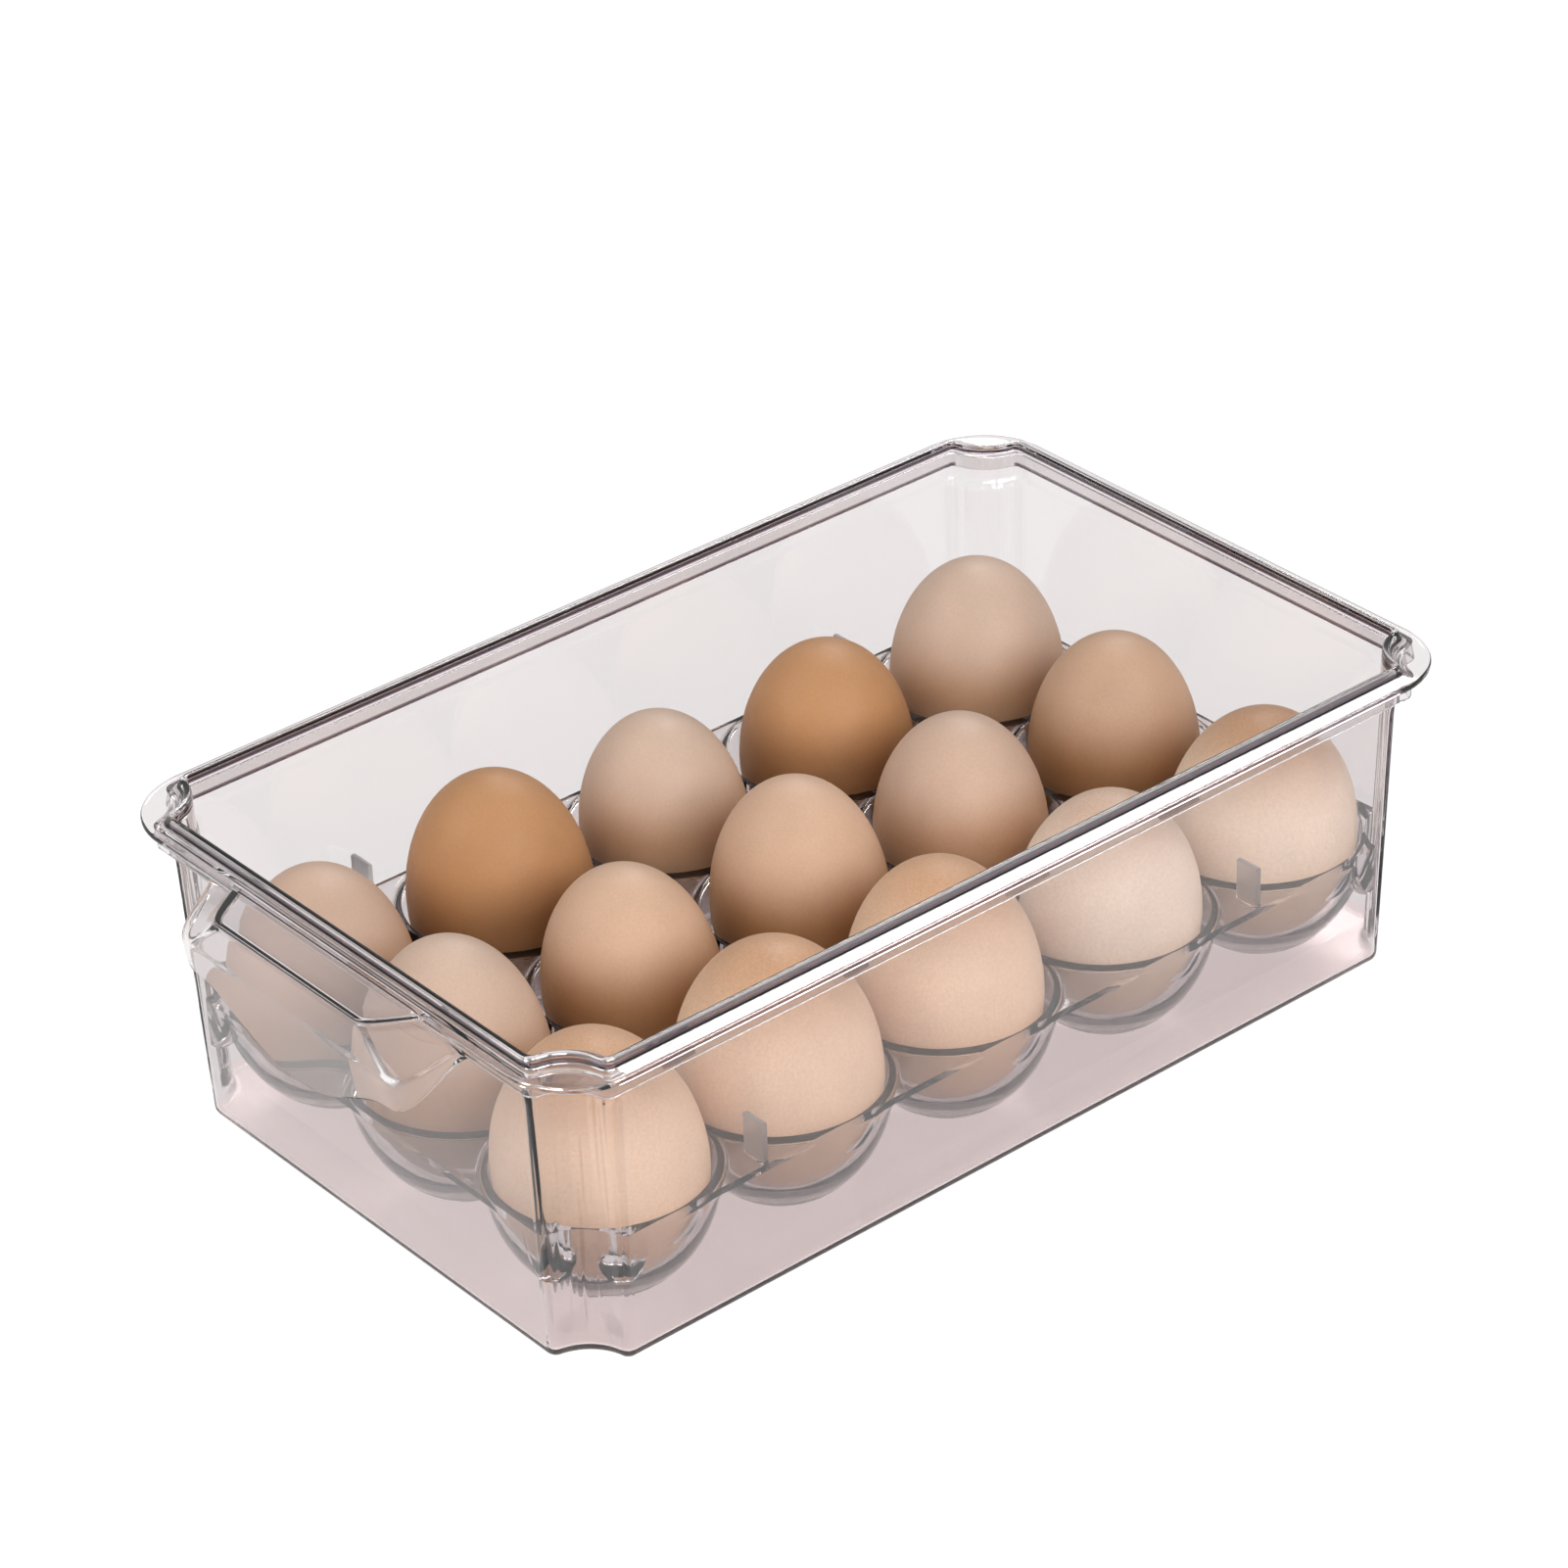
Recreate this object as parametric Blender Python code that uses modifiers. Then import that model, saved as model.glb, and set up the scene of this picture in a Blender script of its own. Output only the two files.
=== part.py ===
"""Clear egg storage box: a drafted bin with a hooded pull, a lift-out tray of cups, and its eggs.

Metres, +Z up. The box stands on z = 0 with its length along Y and the pull facing -Y.
"""

from math import asin, atan2, cos, pi, sin, sqrt

import bmesh
import bpy
from mathutils import Vector

# Bin
side_margin = 0.0012
end_margin = 0.0027
bin_height = 0.0800
wall_draft = 0.0023
bin_wall = 0.0015
bin_floor = 0.0020
base_round = 0.0028
floor_round = 0.0012
notch_radius = 0.0115
lobe_radius = 0.0030

# Rim
flange_thickness = 0.0016
flange_reach = 0.0048
flange_fall = 0.0006
flange_corner_radius = 0.0190
bead_height = 0.0020
bead_reach = 0.0008
bead_draft = 0.0005
skirt_reach = 0.0024
skirt_wall = 0.0012
skirt_depth = 0.0064
inner_step = 0.0003
inner_step_drop = 0.0083

# Pull: a hood under the rim of the short side
pull_wall = 0.0016
pull_ledge_half = 0.0370
pull_nose_half = 0.0260
pull_reach = 0.0104
pull_step = 0.0008
pull_band = 0.0011
pull_bend_half = 0.0365
pull_bend_drop = 0.0112
pull_bend_swell = 0.0012
pull_corner_drop = 0.0190
pull_lip_drop = 0.0296
pull_root_half = 0.0485
pull_root_drop = 0.0045
pull_root_depth = 0.0020
pull_flare = 0.0050
pull_turn = 0.0090
pull_edge_flare = 0.0020
pull_edge_turn = 0.0030

# Egg tray
tray_clearance = 0.0004
tray_top = 0.0330
tray_plate = 0.0018
cup_web = 0.0012
cup_wall = 0.0015
cup_fillet = 0.0016
cup_base = 0.0025
foot_flat = 0.0007
foot_clearance = 0.0003
tray_notch_extra = 0.0008
ear_radius = 0.0060
ear_depth = 0.0120
ear_near = 0.0048
ear_far = 0.0151
fin_width = 0.0068
fin_height = 0.0110
fin_thickness = 0.0014

# Eggs
egg_width = 0.0440
egg_length = 0.0590
egg_side_gap = 0.00076
egg_clearance = 0.0003
egg_belly_share = 0.46

cut_overrun = 0.0020

cup_columns = 5
cup_rows = 3
lobe_steps = 3
notch_steps = 5
cup_segments = 20
cup_profile_steps = 5
egg_segments = 16
egg_profile_steps = 9
pull_side_steps = 4
pull_front_steps = 12
ear_segments = 12
ear_profile_steps = 4
lip_curve_share = 1.2

# Each egg's own width and length, row by row from the far side, pull end first
egg_width_shares = (
    (0.95, 1.02, 0.94, 0.98, 1.00),
    (0.97, 0.96, 0.97, 0.96, 0.96),
    (1.06, 1.07, 1.03, 0.99, 1.03),
)
egg_length_shares = (
    (0.96, 1.03, 0.96, 0.95, 1.01),
    (1.03, 0.98, 1.02, 0.96, 1.00),
    (1.02, 1.04, 1.03, 0.97, 1.00),
)

# Worked out from the sizes above
corner_points = 2 * (lobe_steps + 1) + notch_steps - 1
widest_egg = egg_width * max(max(row) for row in egg_width_shares)
cup_mouth_radius = widest_egg / 2 + egg_side_gap
cup_pitch = 2 * cup_mouth_radius + cup_web
base_half_width = cup_rows * cup_pitch / 2 + side_margin
base_half_length = cup_columns * cup_pitch / 2 + end_margin
cup_floor_top = bin_floor + foot_clearance + cup_base
cup_depth = tray_top - cup_floor_top
rim_top = bin_height + bead_height


def clear_scene():
    for obj in list(bpy.data.objects):
        bpy.data.objects.remove(obj, do_unlink=True)


def new_collection(name):
    collection = bpy.data.collections.new(name)
    bpy.context.scene.collection.children.link(collection)
    return collection


def add_object(name, mesh, collection, location=(0, 0, 0)):
    obj = bpy.data.objects.new(name, mesh)
    obj.location = location
    collection.objects.link(obj)
    return obj


def as_guide(obj):
    obj.hide_render = True
    obj.display_type = "WIRE"
    return obj


def shade_by_angle(mesh, angle=pi / 6):
    mesh.shade_smooth()
    mesh.set_sharp_from_angle(angle=angle)


def plastic(name, colour, roughness, transmission, alpha):
    material = bpy.data.materials.new(name)
    material.use_nodes = True
    shader = material.node_tree.nodes["Principled BSDF"]
    shader.inputs["Base Color"].default_value = (*colour, 1)
    shader.inputs["Roughness"].default_value = roughness
    shader.inputs["Metallic"].default_value = 0
    shader.inputs["Transmission Weight"].default_value = transmission
    shader.inputs["Alpha"].default_value = alpha
    material.diffuse_color = (*colour, alpha)
    return material


# Outlines, all counter-clockwise with the same number of points

def arc(centre, radius, start, end, steps):
    points = []
    for step in range(steps + 1):
        angle = start + (end - start) * step / steps
        points.append((centre[0] + radius * cos(angle), centre[1] + radius * sin(angle)))
    return points


def around(quarter):
    """Mirror a corner's points from the +X +Y quarter into a whole closed outline."""
    back = quarter[::-1]
    outline = list(quarter)
    outline += [(-x, y) for x, y in back]
    outline += [(-x, -y) for x, y in quarter]
    outline += [(x, -y) for x, y in back]
    return outline


def notched_outline(half_width, half_length, offset=0, notch_extra=0):
    """A rectangle whose corners are hollowed between two small lobes."""
    notch = notch_radius + notch_extra
    spread = sqrt((notch + lobe_radius) ** 2 - lobe_radius ** 2)
    side_lobe = (half_width - lobe_radius, half_length - spread)
    end_lobe = (half_width - spread, half_length - lobe_radius)
    steep = atan2(spread, lobe_radius)
    shallow = atan2(lobe_radius, spread)
    lobe = lobe_radius + offset
    hollow = arc((half_width, half_length), notch - offset, steep + pi, shallow + pi, notch_steps)
    quarter = arc(side_lobe, lobe, 0, steep, lobe_steps)
    quarter += hollow[1:-1]
    quarter += arc(end_lobe, lobe, shallow, pi / 2, lobe_steps)
    return around(quarter)


def rounded_outline(half_width, half_length, radius):
    centre = (half_width - radius, half_length - radius)
    return around(arc(centre, radius, 0, pi / 2, corner_points - 1))


def wall_half(height):
    """Half width and half length of the bin's outer wall at a height."""
    spread = wall_draft * height / bin_height
    return base_half_width + spread, base_half_length + spread


def outer_wall(height, offset=0):
    return notched_outline(*wall_half(height), offset)


def beyond_wall(reach, offset=0):
    """An outline around the rim that stands clear of the top of the wall by a reach."""
    half_width, half_length = wall_half(bin_height)
    return notched_outline(half_width + reach, half_length + reach, offset)


def loft(name, rings, collection):
    """Skin a stack of outlines, each with its height, and close both ends."""
    bm = bmesh.new()
    loops = [[bm.verts.new((x, y, z)) for x, y in outline] for outline, z in rings]
    for lower, upper in zip(loops, loops[1:]):
        for i in range(len(lower)):
            j = (i + 1) % len(lower)
            bm.faces.new((lower[i], lower[j], upper[j], upper[i]))
    bm.faces.new(loops[0][::-1])
    bm.faces.new(loops[-1])
    mesh = bpy.data.meshes.new(name)
    bm.to_mesh(mesh)
    bm.free()
    shade_by_angle(mesh)
    return add_object(name, mesh, collection)


def turned(name, profile):
    """A mesh of one open profile of (radius, height) points, for a Screw about Z."""
    bm = bmesh.new()
    points = [bm.verts.new((radius, 0, height)) for radius, height in profile]
    for upper, lower in zip(points, points[1:]):
        bm.edges.new((upper, lower))
    mesh = bpy.data.meshes.new(name)
    bm.to_mesh(mesh)
    bm.free()
    return mesh


def add_screw(obj, segments):
    screw = obj.modifiers.new("turn", "SCREW")
    screw.steps = segments
    screw.render_steps = segments
    screw.use_merge_vertices = True
    screw.merge_threshold = 0.00001
    screw.use_smooth_shade = True


def add_boolean(obj, operation, target):
    boolean = obj.modifiers.new(operation.lower(), "BOOLEAN")
    boolean.operation = operation
    boolean.solver = "EXACT"
    if isinstance(target, bpy.types.Collection):
        boolean.operand_type = "COLLECTION"
        boolean.collection = target
    else:
        boolean.object = target


# Bin

def bin_rings():
    """The wall's section from under the base, up the outside, over the rim and down inside."""
    under_flange = bin_height - flange_thickness
    skirt_foot = bin_height - skirt_depth
    step_top = bin_height - inner_step_drop
    flange = rounded_outline(*[half + flange_reach for half in wall_half(bin_height)], flange_corner_radius)
    soft = 1 - sqrt(1 / 2)
    return [
        (outer_wall(0, -base_round), 0),
        (outer_wall(0, -base_round * soft), base_round * soft),
        (outer_wall(base_round), base_round),
        (outer_wall(under_flange), under_flange),
        (beyond_wall(skirt_reach, -skirt_wall), under_flange),
        (beyond_wall(skirt_reach, -skirt_wall), skirt_foot),
        (beyond_wall(skirt_reach), skirt_foot),
        (beyond_wall(skirt_reach), under_flange),
        (flange, under_flange - flange_fall),
        (flange, bin_height - flange_fall),
        (beyond_wall(bead_reach), bin_height),
        (beyond_wall(bead_reach - bead_draft), rim_top),
        (outer_wall(rim_top, inner_step - bin_wall), rim_top),
        (outer_wall(step_top, inner_step - bin_wall), step_top),
        (outer_wall(step_top - inner_step, -bin_wall), step_top - inner_step),
        (outer_wall(bin_floor + floor_round, -bin_wall), bin_floor + floor_round),
        (outer_wall(bin_floor, -bin_wall - floor_round), bin_floor),
    ]


def pull_row(root, corner, middle_z, flare, turn):
    """One edge line across the pull: an S from the rim to the corner, a curve of points, and an S back."""
    leaving = root + Vector((flare, 0, 0))
    arriving = corner - Vector((turn, 0, 0))
    side = []
    for step in range(pull_side_steps):
        t = step / pull_side_steps
        first = root.lerp(leaving, t)
        second = leaving.lerp(arriving, t)
        third = arriving.lerp(corner, t)
        side.append(first.lerp(second, t).lerp(second.lerp(third, t), t))
    front = []
    for step in range(pull_front_steps + 1):
        share = 1 - 2 * step / pull_front_steps
        rise = abs(share) ** lip_curve_share
        height = middle_z + (corner.z - middle_z) * rise ** 2 * (3 - 2 * rise)
        front.append(Vector((corner.x * share, corner.y, height)))
    other_side = [Vector((-point.x, point.y, point.z)) for point in side[::-1]]
    return side + front + other_side


def pull_form(collection):
    """The hood as a skin, from its ledge over a narrow band and the soft bend to the curved lip."""
    half_length = wall_half(bin_height)[1]
    root_y = -half_length - skirt_reach + skirt_wall / 2
    nose_y = -half_length - flange_reach - pull_reach
    bend_y = nose_y - pull_bend_swell
    bend_z = bin_height - pull_bend_drop
    corner_z = bin_height - pull_corner_drop
    root_z = bin_height - pull_root_drop
    rows = []
    for edge_z in (bin_height - pull_step, bin_height - pull_step - pull_band):
        rows.append(pull_row(
            Vector((-pull_ledge_half, root_y, edge_z)),
            Vector((-pull_nose_half, nose_y, edge_z)),
            edge_z,
            pull_edge_flare,
            pull_edge_turn,
        ))
    rows.append(pull_row(
        Vector((-pull_root_half, root_y, root_z)),
        Vector((-pull_bend_half, bend_y, bend_z)),
        bend_z,
        pull_flare,
        pull_turn,
    ))
    rows.append(pull_row(
        Vector((-pull_root_half, root_y, root_z - pull_root_depth)),
        Vector((-pull_bend_half, nose_y, corner_z)),
        bin_height - pull_lip_drop,
        pull_flare,
        pull_turn,
    ))
    bm = bmesh.new()
    loops = [[bm.verts.new(point) for point in row] for row in rows]
    for upper, lower in zip(loops, loops[1:]):
        for i in range(len(upper) - 1):
            bm.faces.new((upper[i], lower[i], lower[i + 1], upper[i + 1]))
    bm.faces.new(loops[0])
    mesh = bpy.data.meshes.new("pull_form")
    bm.to_mesh(mesh)
    bm.free()
    form = as_guide(add_object("pull_form", mesh, collection))
    shell = form.modifiers.new("shell", "SOLIDIFY")
    shell.thickness = pull_wall
    shell.offset = -1
    shell.use_even_offset = True
    return form


def make_bin(parts, forms):
    body = loft("bin", bin_rings(), parts)
    add_boolean(body, "UNION", pull_form(forms))
    body.data.materials.append(plastic("clear_bin", (0.86, 0.84, 0.85), 0.05, 1, 0.35))
    return body


# Egg tray

def tray_outline(offset=0):
    """The tray follows the bin's inner wall where the cups meet it, with a clearance and deeper notches."""
    seat = tray_top - tray_plate - cup_depth / 4
    return notched_outline(*wall_half(seat), offset - bin_wall - tray_clearance, tray_notch_extra)


def tray_half_width():
    return tray_outline()[0][0]


def cup_places():
    for row in range(cup_rows):
        for column in range(cup_columns):
            x = (row - (cup_rows - 1) / 2) * cup_pitch
            y = (column - (cup_columns - 1) / 2) * cup_pitch
            yield row, column, x, y


def ear_places():
    """Beside each corner notch, one place along the long side and one along the short side."""
    seat = tray_top - tray_plate - cup_depth / 4
    half_width, half_length = wall_half(seat)
    for x, y in ((half_width - ear_near, half_length - ear_far), (half_width - ear_far, half_length - ear_near)):
        for side in (-1, 1):
            for end in (-1, 1):
                yield side * x, end * y


def cup_shell_profile():
    """The outside of one cup: a fillet under the plate and an oval with a small flat to stand on."""
    under_plate = tray_top - tray_plate
    mid_plate = tray_top - tray_plate / 2
    bottom = bin_floor + foot_clearance
    outer = cup_mouth_radius + cup_wall
    depth = tray_top - bottom + foot_flat
    profile = [(0, mid_plate), (outer + cup_fillet, mid_plate), (outer + cup_fillet, under_plate)]
    first = asin((tray_plate + cup_fillet) / depth)
    last = asin((tray_top - bottom) / depth)
    for step in range(cup_profile_steps + 1):
        angle = first + (last - first) * step / cup_profile_steps
        profile.append((outer * cos(angle), tray_top - depth * sin(angle)))
    profile.append((0, bottom))
    return profile


def ear_profile():
    """A small half oval under the plate."""
    under_plate = tray_top - tray_plate
    profile = [(0, tray_top - tray_plate / 2), (ear_radius, tray_top - tray_plate / 2)]
    for step in range(ear_profile_steps + 1):
        angle = pi / 2 * step / ear_profile_steps
        profile.append((ear_radius * cos(angle), under_plate - ear_depth * sin(angle)))
    profile[-1] = (0, under_plate - ear_depth)
    return profile


def cup_hollow_profile():
    """The inside of one cup, a half oval down to the cup's floor."""
    profile = [(0, tray_top + cut_overrun), (cup_mouth_radius, tray_top + cut_overrun)]
    for step in range(cup_profile_steps + 1):
        angle = pi / 2 * step / cup_profile_steps
        profile.append((cup_mouth_radius * cos(angle), tray_top - cup_depth * sin(angle)))
    profile[-1] = (0, cup_floor_top)
    return profile


def box(name, low, high, collection):
    bm = bmesh.new()
    bmesh.ops.create_cube(bm, size=1)
    size = [b - a for a, b in zip(low, high)]
    middle = [(a + b) / 2 for a, b in zip(low, high)]
    bmesh.ops.scale(bm, vec=size, verts=bm.verts)
    bmesh.ops.translate(bm, vec=middle, verts=bm.verts)
    mesh = bpy.data.meshes.new(name)
    bm.to_mesh(mesh)
    bm.free()
    return add_object(name, mesh, collection)


def add_fins(collection):
    """Upright tabs on the plate's long edges, between the end cups and their neighbours."""
    fin_y = cup_pitch * (cup_columns / 2 - 1)
    inner = tray_half_width() - fin_width
    outer = tray_half_width() + cut_overrun
    for side in (-1, 1):
        for end in (-1, 1):
            xs = sorted((side * inner, side * outer))
            low = (xs[0], end * fin_y - fin_thickness / 2, tray_top - tray_plate / 2)
            high = (xs[1], end * fin_y + fin_thickness / 2, tray_top + fin_height)
            as_guide(box("fin_form", low, high, collection))


def make_tray(parts, forms):
    shells = bpy.data.collections.new("tray_additions")
    hollows = bpy.data.collections.new("tray_hollows")
    forms.children.link(shells)
    forms.children.link(hollows)
    shell_mesh = turned("cup_shell", cup_shell_profile())
    hollow_mesh = turned("cup_hollow", cup_hollow_profile())
    for _, _, x, y in cup_places():
        for mesh, collection in ((shell_mesh, shells), (hollow_mesh, hollows)):
            form = as_guide(add_object("cup_form", mesh, collection, (x, y, 0)))
            form.rotation_euler.z = pi / cup_segments / 2
            add_screw(form, cup_segments)
    ear_mesh = turned("ear", ear_profile())
    for x, y in ear_places():
        form = as_guide(add_object("ear_form", ear_mesh, shells, (x, y, 0)))
        form.rotation_euler.z = pi / ear_segments / 3
        add_screw(form, ear_segments)
    add_fins(shells)
    bounds = loft("tray_bounds", [(tray_outline(), 0), (tray_outline(), tray_top + 2 * fin_height)], forms)
    as_guide(bounds)
    plate_outline = tray_outline(tray_clearance)
    tray = loft("egg_tray", [(plate_outline, tray_top - tray_plate), (plate_outline, tray_top)], parts)
    add_boolean(tray, "UNION", shells)
    add_boolean(tray, "INTERSECT", bounds)
    add_boolean(tray, "DIFFERENCE", hollows)
    tray.data.materials.append(plastic("clear_tray", (0.83, 0.80, 0.82), 0.05, 1, 0.35))
    return tray


# Eggs

def egg_profile():
    """An oval from its narrow top to its rounder bottom, standing on z = 0."""
    belly = egg_length * egg_belly_share
    profile = []
    for step in range(egg_profile_steps + 1):
        angle = pi * step / egg_profile_steps
        reach = egg_length - belly if angle < pi / 2 else belly
        profile.append((egg_width / 2 * sin(angle), belly + reach * cos(angle)))
    profile[0] = (0, egg_length)
    profile[-1] = (0, 0)
    return profile


def make_eggs(parts):
    mesh = turned("egg_profile", egg_profile())
    mesh.materials.append(plastic("egg_shell", (0.62, 0.42, 0.28), 0.55, 0, 1))
    rows = ("far", "middle", "near")
    for row, column, x, y in cup_places():
        name = f"egg_{rows[row]}_{column + 1}"
        egg = add_object(name, mesh, parts, (x, y, cup_floor_top + egg_clearance))
        width = egg_width_shares[row][column]
        egg.scale = (width, width, egg_length_shares[row][column])
        add_screw(egg, egg_segments)


def main():
    clear_scene()
    parts = new_collection("egg_storage_box")
    forms = new_collection("forms")
    make_bin(parts, forms)
    make_tray(parts, forms)
    make_eggs(parts)


main()
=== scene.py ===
from math import asin, atan2, cos, pi, radians, sin, sqrt

import bmesh
import bpy
from mathutils import Matrix, Vector


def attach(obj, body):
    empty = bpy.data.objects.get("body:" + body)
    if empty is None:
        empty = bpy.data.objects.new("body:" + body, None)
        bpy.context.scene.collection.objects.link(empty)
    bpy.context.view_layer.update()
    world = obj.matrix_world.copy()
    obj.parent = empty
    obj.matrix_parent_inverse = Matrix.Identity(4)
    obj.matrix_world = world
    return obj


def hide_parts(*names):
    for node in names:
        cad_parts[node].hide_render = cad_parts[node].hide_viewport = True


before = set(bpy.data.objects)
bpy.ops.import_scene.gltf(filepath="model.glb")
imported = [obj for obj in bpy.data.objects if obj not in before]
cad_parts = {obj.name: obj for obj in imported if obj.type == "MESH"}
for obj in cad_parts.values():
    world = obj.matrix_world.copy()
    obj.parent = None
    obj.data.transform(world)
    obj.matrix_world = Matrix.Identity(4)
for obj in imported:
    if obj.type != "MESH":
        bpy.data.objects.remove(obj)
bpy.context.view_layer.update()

# Sizes are in metres
MM = 0.001

# Bin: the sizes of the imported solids, but for the step inside the wall, which is set by the photo
BASE_HALF_WIDTH = 0.0759
BASE_HALF_LENGTH = 0.1272
BIN_HEIGHT = 0.0800
WALL_DRAFT = 0.0023
BIN_WALL = 0.0015
BIN_FLOOR = 0.0020
BASE_ROUND = 0.0028
FLOOR_ROUND = 0.0012
NOTCH_RADIUS = 0.0115
LOBE_RADIUS = 0.0030
FLANGE_THICKNESS = 0.0016
FLANGE_REACH = 0.0048
FLANGE_FALL = 0.0006
FLANGE_CORNER_RADIUS = 0.0190
BEAD_HEIGHT = 0.0020
BEAD_REACH = 0.0008
BEAD_DRAFT = 0.0005
SKIRT_REACH = 0.0024
SKIRT_WALL = 0.0012
SKIRT_DEPTH = 0.0064
INNER_STEP_DROP = 0.0070
INNER_STEP = 0.0003
INNER_STEP_FALL = 0.0012
RIM_TOP = BIN_HEIGHT + BEAD_HEIGHT
SKIRT_ROUND = 0.00055
FLANGE_ROUND = 0.00075
BEAD_ROUND = 0.0008
BEAD_FOOT_ROUND = 0.0004
WALL_TOP_ROUND = 0.0005
INNER_STEP_ROUND = 0.0002

# Pull
PULL_WALL = 0.0016
PULL_LEDGE_HALF = 0.0370
PULL_NOSE_HALF = 0.0260
PULL_REACH = 0.0104
PULL_STEP = 0.0008
PULL_BAND = 0.0011
PULL_BEND_HALF = 0.0365
PULL_BEND_DROP = 0.0112
PULL_BEND_SWELL = 0.0012
PULL_CORNER_DROP = 0.0190
PULL_LIP_DROP = 0.0296
PULL_ROOT_HALF = 0.0485
PULL_ROOT_DROP = 0.0045
PULL_ROOT_DEPTH = 0.0020
LIP_CURVE = 1.2
PULL_FLARE = 0.0050
PULL_TURN = 0.0090
PULL_EDGE_FLARE = 0.0020
PULL_EDGE_TURN = 0.0030
PULL_ROOT_INSET = 1.37
PULL_CORNER_INSET = 0.45
PULL_LEDGE_INSET = 0.0030
PULL_EDGE_DRAFT = 0.0001
PULL_EDGE_ROUND = 0.0004
PULL_BEND_ROUND = 0.0010
PULL_LIP_ROUND = 0.0005
# The closing ring at the lip is narrower and set back, except this near to the root
PULL_END_NARROWING = 0.93
PULL_END_SETBACK = 0.0012
PULL_END_ROOT = 0.002
# The back lies this far into the skirt, as a share of its wall, and the inner form's lies deeper
PULL_BACK = 0.7
PULL_INNER_DROP = 0.0300
PULL_INNER_BACK = 0.0040

# Tray
TRAY_CLEARANCE = 0.0004
TRAY_TOP = 0.0330
TRAY_PLATE = 0.0018
CUP_PITCH = 0.0498
CUP_MOUTH_RADIUS = 0.0243
CUP_WALL = 0.0015
CUP_FILLET = 0.0016
CUP_BASE = 0.0025
FOOT_FLAT = 0.0007
FOOT_CLEARANCE = 0.0003
FIN_WIDTH = 0.0068
FIN_HEIGHT = 0.0110
FIN_THICKNESS = 0.0014
FIN_ROUND = 0.0004
FIN_ROUND_SEGMENTS = 2
FIN_OVERLAP = 0.002
PLATE_ROUND = 0.0004
PLATE_RING = 0.002
TRAY_NOTCH_DEEPER = 0.0008
MOUTH_LIP = 0.0004
CORNER_LIP = 0.0003
LIP_ROOM = 1.5
EAR_RADIUS = 0.0060
EAR_DEPTH = 0.0120
EAR_NEAR = 0.0048
EAR_FAR = 0.0151
EAR_TURN = 0.07
HOLLOW_RISE = 0.0020
CUP_FLOOR = BIN_FLOOR + FOOT_CLEARANCE + CUP_BASE
CUP_DEPTH = TRAY_TOP - CUP_FLOOR
SEAT = TRAY_TOP - TRAY_PLATE - CUP_DEPTH / 4

# Eggs
EGG_WIDTH = 0.0440
EGG_LENGTH = 0.0590
EGG_CLEARANCE = 0.0003
EGG_BELLY = 0.46
ROWS = ("far", "middle", "near")
COLUMNS = 5
EGG_WIDTHS = (
    (0.95, 1.02, 0.94, 0.98, 1.00),
    (0.97, 0.96, 0.97, 0.96, 0.96),
    (1.06, 1.07, 1.03, 0.99, 1.03),
)
EGG_LENGTHS = (
    (0.96, 1.03, 0.96, 0.95, 1.01),
    (1.03, 0.98, 1.02, 0.96, 1.00),
    (1.02, 1.04, 1.03, 0.97, 1.00),
)
# How far an egg lies aside: what is wanted and what its row's cups leave room for, in millimetres,
# then the way it goes, the largest lean and the lever that turns the rest of the shift into a lean
EGG_SHIFTS = (
    (-2.2, -1.3, -1.7, 0.5, 0.2),
    (-2.9, -2.3, -1.0, -0.2, 0.3),
    (-1.7, -0.2, -0.7, 1.7, 2.8),
)
EGG_ROOM = (1.2, 1.0, 0.4)
EGG_ASIDE = (0.629, 0.778, 0)
EGG_LEAN = 0.09
EGG_LEVER = 13

# Plastic: the surface's colour, the depth's colour and density, and how shadows pass through
PLASTIC_IOR = 1.57
PLASTIC_COLOUR = (0.845, 0.818, 0.820)
PLASTIC_TINT = (0.50, 0.37, 0.42)
PLASTIC_SHADOW = (0.975, 0.968, 0.965)
BIN_DENSITY = 22
TRAY_DENSITY = 18
BIN_RIPPLE = 60
TRAY_RIPPLE = 90
RIPPLE_STRENGTH = 0.04
RIPPLE_DEPTH = 0.001
HAZE = 0.03

# Plastic: matte places, with the heights they end or start at
UNDERSIDE_TOP = 0.0030
UNDERSIDE_COLOUR = (0.93, 0.80, 0.785)
UNDERSIDE_ROUGHNESS = 0.2
FROST_FOOT = 0.0095
FROST_TOP = 0.0336
FROST_COLOUR = (0.97, 0.95, 0.94)
FROST_ROUGHNESS = 0.4

# Plastic: painted shade, as dark lines at the rim, with the heights and the distances from the
# middle they lie at
BEAD_SHADE = (0.05, 0.03, 0.045)
BEAD_SHADE_HEIGHTS = (0.0801, 0.0808)
SKIRT_SHADE = (0.12, 0.09, 0.11)
SKIRT_SHADE_HEIGHTS = (0.0734, 0.0744)
SKIRT_SHADE_PLACE = (0.0786, 0.1299)
EDGE_SHADE = (0.22, 0.17, 0.20)
EDGE_SHADE_PLACE = (0.0825, 0.1338)
SHADE_BLUR = 0.0003

# Plastic: paler in the pull as painted light, so beyond a distance from the middle and below a
# height
PULL_PAINTED_LIGHT = (0.985, 0.965, 0.96)
PULL_PLACE = (0.1325, 0.0770)

# Plastic: upright streaks in the corners, with the places where they start and reach full strength
STREAK_EDGES = (
    ("X", 0.0620, 0.0660),
    ("Y", 0.1130, 0.1170),
    ("Z", 0.0040, 0.0120),
    ("Z", 0.0730, 0.0690),
)
STREAK_SCALE = 200
STREAK_STRETCH = (1, 1, 0.02)
STREAK_DEPTH = 0.002
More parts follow.
